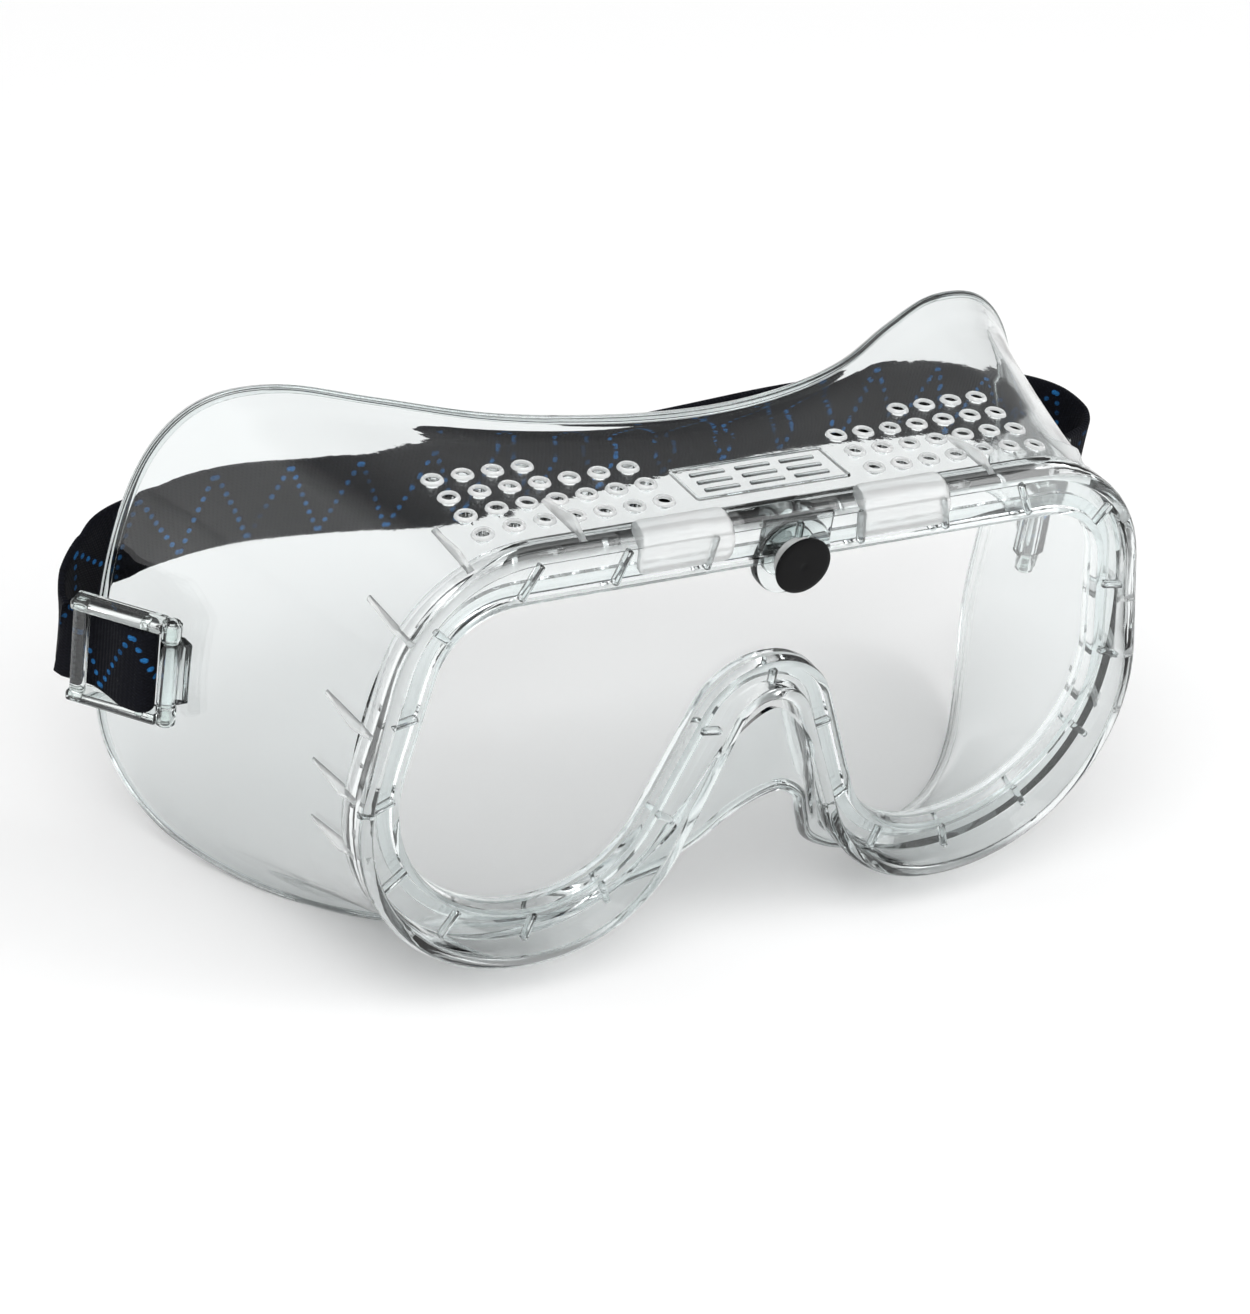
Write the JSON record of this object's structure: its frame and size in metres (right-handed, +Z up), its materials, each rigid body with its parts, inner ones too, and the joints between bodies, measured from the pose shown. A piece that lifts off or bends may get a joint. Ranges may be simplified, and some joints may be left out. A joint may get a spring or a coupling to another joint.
{
  "type": "safety goggles",
  "caption": "Direct-vent safety goggles: soft clear frame with a flat lens, hinged strap clips and an elastic headband.",
  "frame": {"origin": "on the lens's front face, midway between the sides, above the nose", "axes": "+X to the right seen from the front, +Y back towards the face, +Z up"},
  "size_m": [0.2088, 0.0854, 0.0863],
  "materials": {
    "clear_vinyl": "smooth soft clear vinyl",
    "clear_lens": "polished clear polycarbonate",
    "clear_clip": "glossy hard clear plastic",
    "black_plastic": "glossy black",
    "elastic": "woven elastic",
    "thread": "thread"
  },
  "bodies": {
    "frame": {"lens_rim": "clear_vinyl", "face_cup": "clear_vinyl", "lens": "clear_lens", "stud_bush": "clear_clip", "stud_washer": "clear_clip", "hinge_pin_left": "clear_clip", "hinge_pin_right": "clear_clip", "headband": "elastic"},
    "lens_stud": {"lens_stud": "black_plastic"},
    "clip_left": {"strap_clip_left": "clear_clip", "strap_loop_left": "elastic", "bar_tack_left": "thread"},
    "clip_right": {"strap_clip_right": "clear_clip", "strap_loop_right": "elastic", "bar_tack_right": "thread"}
  },
  "joints": [
    {"name": "clip_right_hinge", "type": "hinge", "parent": "frame", "child": "clip_right", "pos_m": [0.086, 0.0436, -0.0154], "axis": [0, 0, -1], "range_deg": [-14, 25]},
    {"name": "clip_left_hinge", "type": "hinge", "parent": "frame", "child": "clip_left", "pos_m": [-0.086, 0.0436, -0.0154], "axis": [0, 0, 1], "range_deg": [-14, 25]},
    {"name": "lens_stud_pull", "type": "slide", "parent": "frame", "child": "lens_stud", "axis": [0, -1, 0], "range_m": [0, 0.0025]}
  ]
}
